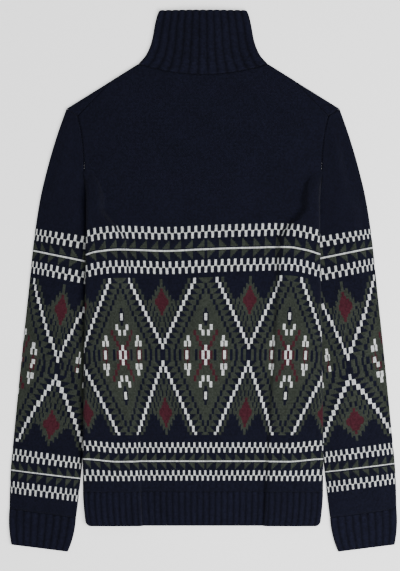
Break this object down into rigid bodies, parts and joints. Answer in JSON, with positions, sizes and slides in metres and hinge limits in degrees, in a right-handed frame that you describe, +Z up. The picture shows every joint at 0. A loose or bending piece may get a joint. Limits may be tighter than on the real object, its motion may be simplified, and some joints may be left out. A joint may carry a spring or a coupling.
{
  "type": "zip-up knitted cardigan laid flat on its front",
  "caption": "Patterned knitted cardigan with a high ribbed collar, zip front, long sleeves and ribbed hem and cuffs, laid flat with its back up.",
  "frame": {"origin": "on the surface the cardigan lies on, below the middle of its length and width", "axes": "+Y from the hem to the collar, +Z up, from the surface through the fronts to the back"},
  "size_m": [0.6008, 0.8384, 0.0186],
  "materials": {
    "jacquard_knit": "soft stranded wool knit, navy ground with grey-green, burgundy and white",
    "rib_knit": "soft wool rib, plain navy",
    "zip_tape": "woven tape, navy",
    "zip_metal": "dark satin metal"
  },
  "bodies": {
    "garment": {"back": "jacquard_knit", "front_right": "jacquard_knit", "front_left": "jacquard_knit", "sleeve_right": "jacquard_knit", "sleeve_left": "jacquard_knit", "hem_back": "rib_knit", "hem_front_right": "rib_knit", "hem_front_left": "rib_knit", "cuff_right": "rib_knit", "cuff_left": "rib_knit", "collar": "rib_knit", "zip_tape_right": "zip_tape", "zip_tape_left": "zip_tape", "zip_box": "zip_metal", "zip_stop_right": "zip_metal", "zip_stop_left": "zip_metal", "zip_slider": "zip_metal"},
    "pull_tab": {"zip_pull_tab": "zip_metal"}
  },
  "joints": [
    {"name": "pull_tab_swing", "type": "hinge", "parent": "garment", "child": "pull_tab", "pos_m": [0, 0.3778, 0.00225], "axis": [1, 0, 0], "range_deg": [0, 150]}
  ]
}
